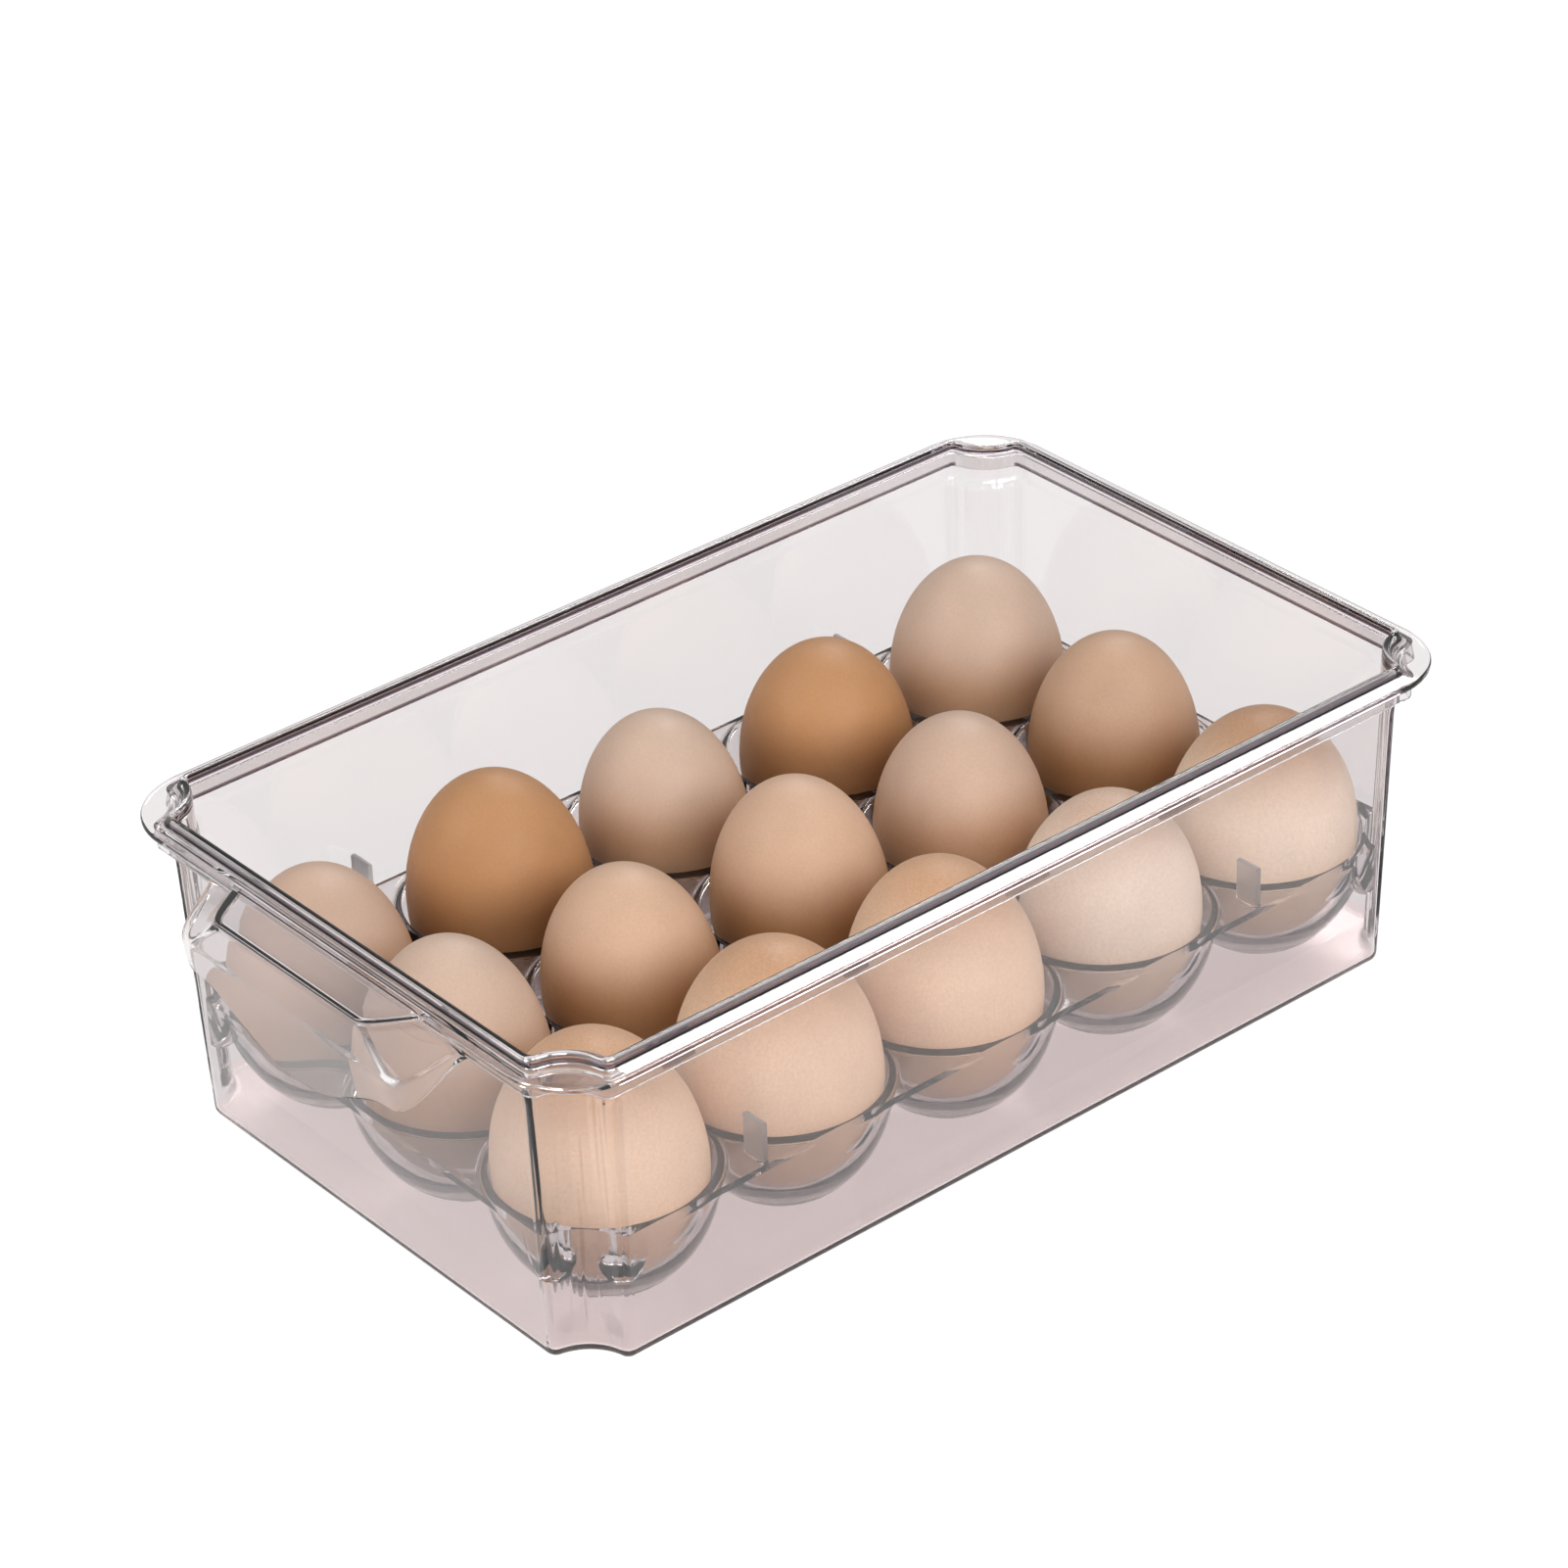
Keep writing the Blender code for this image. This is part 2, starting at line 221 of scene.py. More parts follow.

# Egg shells: a tone for each egg, and by height the colours that multiply it, which are painted
# shade and light: the far and middle eggs are darker low down as painted shade, and the near eggs
# are darker at the top as painted shade and redder at the bottom as painted light
PALE = (0.68, 0.49, 0.375)
ROSE = (0.65, 0.45, 0.335)
BUFF = (0.70, 0.455, 0.31)
TAN = (0.60, 0.38, 0.25)
BROWN = (0.56, 0.28, 0.12)
SAND = (0.86, 0.625, 0.45)
LIGHT = (0.90, 0.74, 0.61)
DUSK = (0.94, 0.75, 0.59)
TONES = (
    (ROSE, BROWN, PALE, BROWN, PALE),
    (PALE, BUFF, BUFF, ROSE, TAN),
    (SAND, SAND, SAND, LIGHT, DUSK),
)
PAINTED_SHADING_TOP = 0.080
WHOLE = (1, 1, 1)
PAINTED_SHADING_BY_HEIGHT = {
    BROWN: ((0.036, (0.62, 0.58, 0.54)), (0.052, WHOLE)),
    PALE: ((0.036, (0.82, 0.67, 0.52)), (0.052, WHOLE)),
    ROSE: ((0.036, (0.82, 0.67, 0.52)), (0.052, WHOLE)),
    BUFF: ((0.036, (0.55, 0.42, 0.27)), (0.054, WHOLE)),
    TAN: ((0.036, (0.55, 0.42, 0.27)), (0.054, WHOLE)),
    SAND: ((0.014, (1.12, 0.84, 0.60)), (0.040, WHOLE), (0.046, WHOLE),
           (0.070, (0.72, 0.54, 0.41))),
    LIGHT: ((0.014, (1.05, 0.82, 0.60)), (0.040, WHOLE), (0.046, WHOLE),
            (0.070, (0.68, 0.51, 0.42))),
    DUSK: ((0.014, (1.02, 0.80, 0.58)), (0.040, WHOLE), (0.044, WHOLE),
           (0.066, (0.53, 0.35, 0.23))),
}
SPECKLES = (0.03, 0.035, 0.07)
SPECK_SCALE = 1600
SPECK_RANGE = (0.36, 0.62)
SPECK_TINT = (1, 1.2, 1.4)
PATCH_SCALE = 45
PATCH_DARK = 0.93
PATCH_LIGHT = 1.06
GLOSS_SCALE = 300
SHELL_ROUGHNESS = (0.50, 0.62)
PORE_SCALE = 2200
PORE_STRENGTH = 0.25
PORE_DEPTH = 0.0001
SEED_SHIFT = (0.37, 0.61, 0.13)
SHELL_SCATTER = 0.08
SHELL_SCATTER_COLOUR = (1.0, 0.6, 0.4)
SHELL_SCATTER_DEPTH = 0.003

# Floor, lamps and world, with fades as (start, end, what is left)
FLOOR_SIZE = 3
FLOOR_DROP = 0.0003
FLOOR_GREY = 0.62
FLOOR_ROUGHNESS = 0.7
FLOOR_WHITE = 0.6
FLOOR_GLOW = 1.45
FLOOR_FADE = (0.40, 1.10, 0.40)
GLOSS_SHARE = 0.4
LAMP_AIM = (0, 0, 0.04)
SKY_LIGHT = 0.45
SKY_FADE = (0.04, 0.30, 0.03)
BACKDROP_SIDE = (-0.77, 0.64, 0)
BACKDROP_HEIGHT = 0.6

# Camera: lens and sensor in millimetres, angles in degrees, what it looks at and from how far
SENSOR = 36
LENS = 5490.36 / 1601 * SENSOR
CAMERA_ANGLES = (51.05, 31.45, -2.43)
CAMERA_AIM = (-0.00882, 0.00300, 0.05965)
CAMERA_DISTANCE = 1.2530
CAMERA_NEAR = 0.05
CAMERA_FAR = 20

# Fineness
LOBE_STEPS = 7
NOTCH_STEPS = 14
ROUND_STEPS = 4
CUP_SEGMENTS = 60
CUP_STEPS = 16
EGG_SEGMENTS = 72
EGG_STEPS = 48
EAR_SEGMENTS = 32
FILLET_STEPS = 6
LIP_STEPS = 5
PULL_CURVE_STEPS = 60
PULL_SIDE_STEPS = 20
PULL_FRONT_STEPS = 48
SMOOTH_ANGLE = 32
MERGE_DISTANCE = 0.00001
TINY = 1e-9
ROUND_REACH = 0.48
CORNER_POINTS = 2 * (LOBE_STEPS + 1) + NOTCH_STEPS - 1

# Where most values of a noise texture lie
NOISE_LOW = 0.3
NOISE_HIGH = 0.7

# Sockets of a colour Mix node
MIX_UNDER = 6
MIX_OVER = 7
MIX_RESULT = 2

scene = bpy.context.scene
rest = bpy.data.collections.new("dressing")
scene.collection.children.link(rest)


def add_object(name, mesh, location=(0, 0, 0)):
    obj = bpy.data.objects.new(name, mesh)
    obj.location = location
    rest.objects.link(obj)
    return obj


def mesh_from(bm, name):
    mesh = bpy.data.meshes.new(name)
    bm.to_mesh(mesh)
    bm.free()
    return mesh


def settle(obj):
    """Apply an object's modifiers and placing, so that its mesh holds its final shape."""
    graph = bpy.context.evaluated_depsgraph_get()
    done = bpy.data.meshes.new_from_object(obj.evaluated_get(graph))
    done.transform(obj.matrix_world)
    obj.modifiers.clear()
    obj.matrix_world = Matrix()
    obj.data = done
    return obj


def smooth(obj):
    obj.data.shade_smooth()
    obj.data.set_sharp_from_angle(angle=radians(SMOOTH_ANGLE))


# Outlines

def arc(centre, radius, start, end, steps):
    return [
        (centre[0] + radius * cos(start + (end - start) * i / steps),
         centre[1] + radius * sin(start + (end - start) * i / steps))
        for i in range(steps + 1)
    ]


def around(quarter):
    """A whole outline from its quarter in +X and +Y, mirrored to the other three."""
    back = quarter[::-1]
    return (list(quarter) + [(-x, y) for x, y in back]
            + [(-x, -y) for x, y in quarter] + [(x, -y) for x, y in back])


def notched(half_width, half_length, offset=0, deeper=0):
    """A rectangle whose corners are round hollows between two small lobes."""
    notch = NOTCH_RADIUS + deeper
    spread = sqrt((notch + LOBE_RADIUS) ** 2 - LOBE_RADIUS ** 2)
    side_lobe = (half_width - LOBE_RADIUS, half_length - spread)
    end_lobe = (half_width - spread, half_length - LOBE_RADIUS)
    steep = atan2(spread, LOBE_RADIUS)
    shallow = atan2(LOBE_RADIUS, spread)
    lobe = LOBE_RADIUS + offset
    hollow = arc((half_width, half_length), notch - offset, steep + pi, shallow + pi, NOTCH_STEPS)
    return around(arc(side_lobe, lobe, 0, steep, LOBE_STEPS) + hollow[1:-1]
                  + arc(end_lobe, lobe, shallow, pi / 2, LOBE_STEPS))


def rounded(half_width, half_length, radius):
    centre = (half_width - radius, half_length - radius)
    return around(arc(centre, radius, 0, pi / 2, CORNER_POINTS - 1))


def wall_half(height):
    spread = WALL_DRAFT * height / BIN_HEIGHT
    return BASE_HALF_WIDTH + spread, BASE_HALF_LENGTH + spread


def outer_wall(height, offset=0):
    return notched(*wall_half(height), offset)


def beyond_wall(reach, offset=0):
    half_width, half_length = wall_half(BIN_HEIGHT)
    return notched(half_width + reach, half_length + reach, offset)


def rounded_stack(rings):
    """Rows of points from (outline, height, rounding) rings, with each corner rounded over."""
    return rounded_lines([([Vector((x, y, z)) for x, y in outline], size)
                          for outline, z, size in rings])


def rounded_lines(rings):
    """Rows of points from (points, rounding) rings, with each corner rounded over."""
    lines = [line for line, _ in rings]
    result = []
    for k, (_, size) in enumerate(rings):
        if not size or k in (0, len(rings) - 1):
            result.append(lines[k])
            continue
        steps = [[] for _ in range(ROUND_STEPS + 1)]
        for before, here, after in zip(lines[k - 1], lines[k], lines[k + 1]):
            start = here.lerp(before, min(size / max((before - here).length, TINY), ROUND_REACH))
            end = here.lerp(after, min(size / max((after - here).length, TINY), ROUND_REACH))
            for i in range(ROUND_STEPS + 1):
                t = i / ROUND_STEPS
                steps[i].append(start * (1 - t) ** 2 + here * 2 * t * (1 - t) + end * t ** 2)
        result += steps
    return result


def skin(name, rows):
    """A closed form over rows of points, with a flat face at the first row and at the last."""
    bm = bmesh.new()
    loops = [[bm.verts.new(point) for point in row] for row in rows]
    for lower, upper in zip(loops, loops[1:]):
        for i in range(len(lower)):
            j = (i + 1) % len(lower)
            bm.faces.new((lower[i], lower[j], upper[j], upper[i]))
    bm.faces.new(loops[0][::-1])
    bm.faces.new(loops[-1])
    return add_object(name, mesh_from(bm, name))


def turned(name, profile, segments, location=(0, 0, 0)):
    """A (radius, height) profile turned round the upright axis."""
    bm = bmesh.new()
    points = [bm.verts.new((radius, 0, height)) for radius, height in profile]
    for upper, lower in zip(points, points[1:]):
        bm.edges.new((upper, lower))
    obj = add_object(name, mesh_from(bm, name), location)
    screw = obj.modifiers.new("turn", "SCREW")
    screw.steps = segments
    screw.render_steps = segments
    screw.use_merge_vertices = True
    screw.merge_threshold = MERGE_DISTANCE
    screw.use_smooth_shade = True
    return obj


def cut(obj, operation, target):
    boolean = obj.modifiers.new(operation.lower(), "BOOLEAN")
    boolean.operation = operation
    boolean.solver = "EXACT"
    if isinstance(target, bpy.types.Collection):
        boolean.operand_type = "COLLECTION"
        boolean.collection = target
    else:
        boolean.object = target


# Bin

def quarter_round(radius, foot, inward, upward):
    """(offset, height) steps round a base corner, from the flat to the upright or the other way."""
    rings = []
    for i in range(ROUND_STEPS + 2):
        angle = pi / 2 * i / (ROUND_STEPS + 1)
        rings.append((inward - radius * (1 - sin(angle)), foot + radius * (1 - cos(angle))))
    return rings if upward else rings[::-1]


def bin_rows():
    under = BIN_HEIGHT - FLANGE_THICKNESS
    foot = BIN_HEIGHT - SKIRT_DEPTH
    step_top = BIN_HEIGHT - INNER_STEP_DROP
    step_foot = step_top - INNER_STEP_FALL
    flange = rounded(*[half + FLANGE_REACH for half in wall_half(BIN_HEIGHT)],
                     FLANGE_CORNER_RADIUS)
    rings = [(outer_wall(z, offset), z, 0) for offset, z in quarter_round(BASE_ROUND, 0, 0, True)]
    rings += [
        (outer_wall(under), under, WALL_TOP_ROUND),
        (beyond_wall(SKIRT_REACH, -SKIRT_WALL), under, SKIRT_ROUND),
        (beyond_wall(SKIRT_REACH, -SKIRT_WALL), foot, SKIRT_ROUND),
        (beyond_wall(SKIRT_REACH), foot, SKIRT_ROUND),
        (beyond_wall(SKIRT_REACH), under, SKIRT_ROUND),
        (flange, under - FLANGE_FALL, FLANGE_ROUND),
        (flange, BIN_HEIGHT - FLANGE_FALL, FLANGE_ROUND),
        (beyond_wall(BEAD_REACH), BIN_HEIGHT, BEAD_FOOT_ROUND),
        (beyond_wall(BEAD_REACH - BEAD_DRAFT), RIM_TOP, BEAD_ROUND),
        (outer_wall(RIM_TOP, INNER_STEP - BIN_WALL), RIM_TOP, BEAD_ROUND),
        (outer_wall(step_top, INNER_STEP - BIN_WALL), step_top, INNER_STEP_ROUND),
        (outer_wall(step_foot, -BIN_WALL), step_foot, INNER_STEP_ROUND),
    ]
    rings += [(outer_wall(z, offset), z, 0)
              for offset, z in quarter_round(FLOOR_ROUND, BIN_FLOOR, -BIN_WALL, False)]
    return rounded_stack(rings)


def spread_along(points, count):
    """The given number of points at even distances along a line, without its last point."""
    reach = [0]
    for before, here in zip(points, points[1:]):
        reach.append(reach[-1] + (here - before).length)
    result = []
    k = 0
    for i in range(count):
        wanted = reach[-1] * i / count
        while reach[k + 1] < wanted:
            k += 1
        share = (wanted - reach[k]) / max(reach[k + 1] - reach[k], TINY)
        result.append(points[k].lerp(points[k + 1], share))
    return result


def pull_row(root, corner, middle_z, flare, turn, drop=0):
    """One edge line of the pull: an S from the rim to the corner, a front, and back."""
    turns = (root, root + Vector((flare, 0, 0)), corner - Vector((turn, 0, 0)), corner)
    side = []
    for i in range(PULL_CURVE_STEPS + 1):
        t = i / PULL_CURVE_STEPS
        weights = ((1 - t) ** 3, 3 * t * (1 - t) ** 2, 3 * t * t * (1 - t), t ** 3)
        side.append(sum((p * w for p, w in zip(turns, weights)), Vector()))
    side = spread_along(side, PULL_SIDE_STEPS)
    front = []
    for i in range(PULL_FRONT_STEPS + 1):
        share = 1 - 2 * i / PULL_FRONT_STEPS
        rise = abs(share) ** LIP_CURVE
        height = middle_z + (corner.z - middle_z) * rise * rise * (3 - 2 * rise)
        front.append(Vector((corner.x * share, corner.y, height)))
    row = side + front + [Vector((-p.x, p.y, p.z)) for p in side[::-1]]
    return [p - Vector((0, 0, drop)) for p in row]


def pull_solid(name, inset, drop, back_y):
    """The hood as a closed form: ledge, soft bend, lip and a flat back inside the rim."""
    half_length = wall_half(BIN_HEIGHT)[1]
    root_y = -half_length - SKIRT_REACH + SKIRT_WALL / 2
    nose_y = -half_length - FLANGE_REACH - PULL_REACH + inset
    ledge_z = BIN_HEIGHT - PULL_STEP - inset
    bend_z = BIN_HEIGHT - PULL_BEND_DROP
    root_z = BIN_HEIGHT - PULL_ROOT_DROP
    at_root = inset * PULL_ROOT_INSET
    at_corner = inset * PULL_CORNER_INSET
    lip_root = Vector((-PULL_ROOT_HALF + at_root, root_y, root_z - PULL_ROOT_DEPTH))
    lip_corner = Vector((-PULL_BEND_HALF + at_corner, nose_y, BIN_HEIGHT - PULL_CORNER_DROP))
    rings = []
    for pull_in, fall, size in ((PULL_LEDGE_INSET, 0, 0), (0, 0, PULL_EDGE_ROUND),
                                (-PULL_EDGE_DRAFT, PULL_BAND, PULL_EDGE_ROUND)):
        level = ledge_z - fall
        root = Vector((-PULL_LEDGE_HALF + at_root + pull_in, root_y, level))
        corner = Vector((-PULL_NOSE_HALF + at_corner + pull_in, nose_y + pull_in, level))
        rings.append((pull_row(root, corner, level, PULL_EDGE_FLARE, PULL_EDGE_TURN), size))
    bend_root = Vector((-PULL_ROOT_HALF + at_root, root_y, root_z - inset))
    bend_corner = Vector((-PULL_BEND_HALF + at_corner, nose_y - PULL_BEND_SWELL, bend_z))
    bend = pull_row(bend_root, bend_corner, bend_z, PULL_FLARE, PULL_TURN)
    rings.append((bend, PULL_BEND_ROUND))
    lip = pull_row(lip_root, lip_corner, BIN_HEIGHT - PULL_LIP_DROP, PULL_FLARE, PULL_TURN, drop)
    rings.append((lip, PULL_LIP_ROUND))
    inward = []
    for p in lip:
        setback = PULL_END_SETBACK if p.y < root_y - PULL_END_ROOT else 0
        inward.append(Vector((p.x * PULL_END_NARROWING, max(p.y, nose_y) + setback, p.z)))
    rings.append((inward, 0))
    rows = rounded_lines(rings)
    bm = bmesh.new()
    loops = [[bm.verts.new(point) for point in row] for row in rows]
    for upper, lower in zip(loops, loops[1:]):
        for i in range(len(upper) - 1):
            bm.faces.new((upper[i], lower[i], lower[i + 1], upper[i + 1]))
    bm.faces.new(loops[0])
    final = [bm.verts.new((v.co.x, back_y, v.co.z)) for v in loops[-1]]
    first = [bm.verts.new((v.co.x, back_y, v.co.z)) for v in (loop[0] for loop in loops[:-1])]
    last = [bm.verts.new((v.co.x, back_y, v.co.z)) for v in (loop[-1] for loop in loops[:-1])]
    firsts = first + [final[0]]
    lasts = last + [final[-1]]
    for i in range(len(loops) - 1):
        bm.faces.new((loops[i][0], firsts[i], firsts[i + 1], loops[i + 1][0]))
        bm.faces.new((loops[i][-1], loops[i + 1][-1], lasts[i + 1], lasts[i]))
    bm.faces.new((loops[0][0], loops[0][-1], lasts[0], firsts[0]))
    for i in range(len(final) - 1):
        bm.faces.new((loops[-1][i], final[i], final[i + 1], loops[-1][i + 1]))
    bm.faces.new(firsts[:-1] + final + lasts[:-1][::-1])
    bmesh.ops.recalc_face_normals(bm, faces=bm.faces)
    return add_object(name, mesh_from(bm, name))


def make_pull():
    half_length = wall_half(BIN_HEIGHT)[1]
    back_y = -half_length - SKIRT_REACH + SKIRT_WALL * PULL_BACK
    pull = pull_solid("pull_form", 0, 0, back_y)
    inner = pull_solid("pull_inner", PULL_WALL, PULL_INNER_DROP, back_y + PULL_INNER_BACK)
    cut(pull, "DIFFERENCE", inner)
    settle(pull)
    bpy.data.objects.remove(inner, do_unlink=True)
    return pull


def make_bin():
    body = skin("bin_clear", bin_rows())
    pull = make_pull()
    cut(body, "UNION", pull)
    settle(body)
    bpy.data.objects.remove(pull, do_unlink=True)
    smooth(body)
    return body


# Tray

def tray_outline(offset=0):
    return notched(*wall_half(SEAT), offset - BIN_WALL - TRAY_CLEARANCE, TRAY_NOTCH_DEEPER)


def cup_places():
    for row in range(len(ROWS)):
        for column in range(COLUMNS):
            yield row, column, (row - 1) * CUP_PITCH, (column - 2) * CUP_PITCH


def shell_profile():
    """The outside of a cup: a fillet under the plate, then an oval with a flat to stand on."""
    under = TRAY_TOP - TRAY_PLATE
    middle = TRAY_TOP - TRAY_PLATE / 2
    bottom = BIN_FLOOR + FOOT_CLEARANCE
    outer = CUP_MOUTH_RADIUS + CUP_WALL
    depth = TRAY_TOP - bottom + FOOT_FLAT
    start = (TRAY_PLATE + CUP_FILLET) / depth
    top = Vector((outer + CUP_FILLET, under))
    join = Vector((outer * sqrt(1 - start ** 2), TRAY_TOP - start * depth))
    bend = Vector((outer, under))
    profile = [(0, middle), (outer + CUP_FILLET, middle)]
    for i in range(FILLET_STEPS):
        t = i / FILLET_STEPS
        point = top * (1 - t) ** 2 + bend * 2 * t * (1 - t) + join * t ** 2
        profile.append(tuple(point))
    first, last = asin(start), asin((TRAY_TOP - bottom) / depth)
    for i in range(CUP_STEPS + 1):
        angle = first + (last - first) * i / CUP_STEPS
        profile.append((outer * cos(angle), TRAY_TOP - depth * sin(angle)))
    profile.append((0, bottom))
    return profile


def ear_profile():
    """A small half oval under the plate beside each corner notch."""
    profile = [(0, TRAY_TOP - TRAY_PLATE / 2), (EAR_RADIUS, TRAY_TOP - TRAY_PLATE / 2)]
    for i in range(CUP_STEPS + 1):
        angle = pi / 2 * i / CUP_STEPS
        profile.append((EAR_RADIUS * cos(angle), TRAY_TOP - TRAY_PLATE - EAR_DEPTH * sin(angle)))
    profile[-1] = (0, profile[-1][1])
    return profile


def ear_places():
    half_width, half_length = wall_half(SEAT)
    for from_side, from_end in ((EAR_NEAR, EAR_FAR), (EAR_FAR, EAR_NEAR)):
        for side in (-1, 1):
            for end in (-1, 1):
                yield side * (half_width - from_side), end * (half_length - from_end)


def hollow_profile(lip):
    """The inside of a cup, from above the plate over a rounded lip to its floor."""
    above = TRAY_TOP + HOLLOW_RISE
    profile = [(0, above), (CUP_MOUTH_RADIUS + lip, above)]
    for i in range(LIP_STEPS + 1):
        angle = pi / 2 * i / LIP_STEPS
        radius = CUP_MOUTH_RADIUS + lip * (1 - sin(angle))
        profile.append((radius, TRAY_TOP - lip * (1 - cos(angle))))
    for i in range(CUP_STEPS + 1):
        angle = pi / 2 * i / CUP_STEPS
        fall = CUP_DEPTH * sin(angle)
        if fall > lip * LIP_ROOM:
            profile.append((CUP_MOUTH_RADIUS * cos(angle), TRAY_TOP - fall))
    profile[-1] = (0, CUP_FLOOR)
    return profile


def block(name, low, high):
    """A box between two corners."""
    bm = bmesh.new()
    bmesh.ops.create_cube(bm, size=1)
    bmesh.ops.scale(bm, vec=[b - a for a, b in zip(low, high)], verts=bm.verts)
    bmesh.ops.translate(bm, vec=[(a + b) / 2 for a, b in zip(low, high)], verts=bm.verts)
    return add_object(name, mesh_from(bm, name))


def make_tray():
    shells = bpy.data.collections.new("tray_additions")
    hollows = bpy.data.collections.new("tray_hollows")
    helpers = []
    for _, _, x, y in cup_places():
        lip = CORNER_LIP if abs(y) > CUP_PITCH * 1.5 and x else MOUTH_LIP
        for profile, group in ((shell_profile(), shells), (hollow_profile(lip), hollows)):
            form = turned("cup_form", profile, CUP_SEGMENTS, (x, y, 0))
            form.rotation_euler.z = pi / CUP_SEGMENTS / 2
            group.objects.link(form)
            helpers.append(form)
    for x, y in ear_places():
        form = turned("ear_form", ear_profile(), EAR_SEGMENTS, (x, y, 0))
        form.rotation_euler.z = EAR_TURN
        shells.objects.link(form)
        helpers.append(form)
    half_width = tray_outline()[0][0]
    for side in (-1, 1):
        for end in (-1, 1):
            xs = sorted((side * (half_width - FIN_WIDTH), side * (half_width + FIN_OVERLAP)))
            y = end * CUP_PITCH * 1.5
            fin = block("fin_form", (xs[0], y - FIN_THICKNESS / 2, TRAY_TOP - TRAY_PLATE / 2),
                        (xs[1], y + FIN_THICKNESS / 2, TRAY_TOP + FIN_HEIGHT))
            soft = fin.modifiers.new("soft", "BEVEL")
            soft.width = FIN_ROUND
            soft.segments = FIN_ROUND_SEGMENTS
            shells.objects.link(fin)
            helpers.append(fin)
    bpy.context.view_layer.update()
    plate = rounded_stack([
        (tray_outline(TRAY_CLEARANCE - PLATE_RING), TRAY_TOP - TRAY_PLATE, 0),
        (tray_outline(TRAY_CLEARANCE), TRAY_TOP - TRAY_PLATE, PLATE_ROUND),
        (tray_outline(TRAY_CLEARANCE), TRAY_TOP, PLATE_ROUND),
        (tray_outline(TRAY_CLEARANCE - PLATE_RING), TRAY_TOP, 0),
    ])
    tray = skin("tray_clear", plate)
    bounds = skin("tray_bounds", [
        [Vector((x, y, z)) for x, y in tray_outline()] for z in (0, TRAY_TOP + 2 * FIN_HEIGHT)])
    helpers.append(bounds)
    cut(tray, "UNION", shells)
    cut(tray, "INTERSECT", bounds)
    cut(tray, "DIFFERENCE", hollows)
    settle(tray)
    for form in helpers:
        bpy.data.objects.remove(form, do_unlink=True)
    smooth(tray)
    return tray


# Eggs

def egg_profile(width, length):
    belly = length * EGG_BELLY
    profile = []
    for i in range(EGG_STEPS + 1):
        angle = pi * i / EGG_STEPS
        reach = length - belly if angle < pi / 2 else belly
        profile.append((width / 2 * sin(angle), belly + reach * cos(angle)))
    profile[0] = (0, length)
    profile[-1] = (0, 0)
    return profile


def lean_egg(egg, middle, wanted, row):
    """Let an egg lie a little aside in its cup and lean the same way."""
    shift = max(-EGG_ROOM[row], min(EGG_ROOM[row], wanted / 2))
    lean = max(-EGG_LEAN, min(EGG_LEAN, (wanted - shift) / EGG_LEVER))
    aside = Vector(EGG_ASIDE)
    turn = Matrix.Rotation(lean, 4, Vector((0, 0, 1)).cross(aside))
    moved = Matrix.Translation(middle + aside * shift * MM)
    egg.data.transform(moved @ turn @ Matrix.Translation(-middle))


def make_eggs():
    eggs = {}
    for row, column, x, y in cup_places():
        name = f"egg_{ROWS[row]}_{column + 1}"
        width = EGG_WIDTH * EGG_WIDTHS[row][column]
        length = EGG_LENGTH * EGG_LENGTHS[row][column]
        egg = turned("shell_" + name[4:], egg_profile(width, length), EGG_SEGMENTS,
                     (x, y, CUP_FLOOR + EGG_CLEARANCE))
        bpy.context.view_layer.update()
        settle(egg)
        middle = Vector((x, y, CUP_FLOOR + EGG_CLEARANCE + length * EGG_BELLY))
        lean_egg(egg, middle, EGG_SHIFTS[row][column], row)
        egg.data.shade_smooth()
        eggs[name] = egg
    return eggs


# Materials

def new_material(name):
    material = bpy.data.materials.new(name)
    material.use_nodes = True
    tree = material.node_tree
    return material, tree, tree.nodes["Principled BSDF"], tree.nodes["Material Output"]


def combine(tree, operation, first, second):
    """The result of a Math node on two sockets or numbers."""
    node = tree.nodes.new("ShaderNodeMath")
    node.operation = operation
    for socket, value in zip(node.inputs, (first, second)):
        if isinstance(value, (int, float)):
            socket.default_value = value
        else:
            tree.links.new(value, socket)
    return node.outputs[0]


def corner_streaks(tree, place):
    """Upright ripples in the corner recesses, as the height for a bump."""
    nodes, links = tree.nodes, tree.links
    size = nodes.new("ShaderNodeVectorMath")
    size.operation = "ABSOLUTE"
    links.new(place, size.inputs[0])
    split = nodes.new("ShaderNodeSeparateXYZ")
    links.new(size.outputs["Vector"], split.inputs[0])
    inside = 1
    for axis, start, end in STREAK_EDGES:
        share = nodes.new("ShaderNodeMapRange")
        share.interpolation_type = "SMOOTHSTEP"
        share.inputs["From Min"].default_value = start
        share.inputs["From Max"].default_value = end
        links.new(split.outputs[axis], share.inputs["Value"])
        inside = combine(tree, "MULTIPLY", share.outputs["Result"], inside)
    upright = nodes.new("ShaderNodeVectorMath")
    upright.operation = "MULTIPLY"
    upright.inputs[1].default_value = STREAK_STRETCH
    links.new(place, upright.inputs[0])
    streaks = nodes.new("ShaderNodeTexNoise")
    streaks.inputs["Scale"].default_value = STREAK_SCALE
    streaks.inputs["Detail"].default_value = 2
    links.new(upright.outputs["Vector"], streaks.inputs["Vector"])
    return combine(tree, "MULTIPLY", inside, streaks.outputs["Fac"])


def rise(tree, value, start, width):
    """0 below the start, 1 from the start plus the width on."""
    node = tree.nodes.new("ShaderNodeMapRange")
    node.inputs["From Min"].default_value = start
    node.inputs["From Max"].default_value = start + width
    tree.links.new(value, node.inputs["Value"])
    return node.outputs["Result"]


def height_band(tree, height, heights):
    """1 between two heights, 0 elsewhere."""
    above = rise(tree, height, heights[0] - SHADE_BLUR, SHADE_BLUR)
    return combine(tree, "SUBTRACT", above, rise(tree, height, heights[1], SHADE_BLUR))


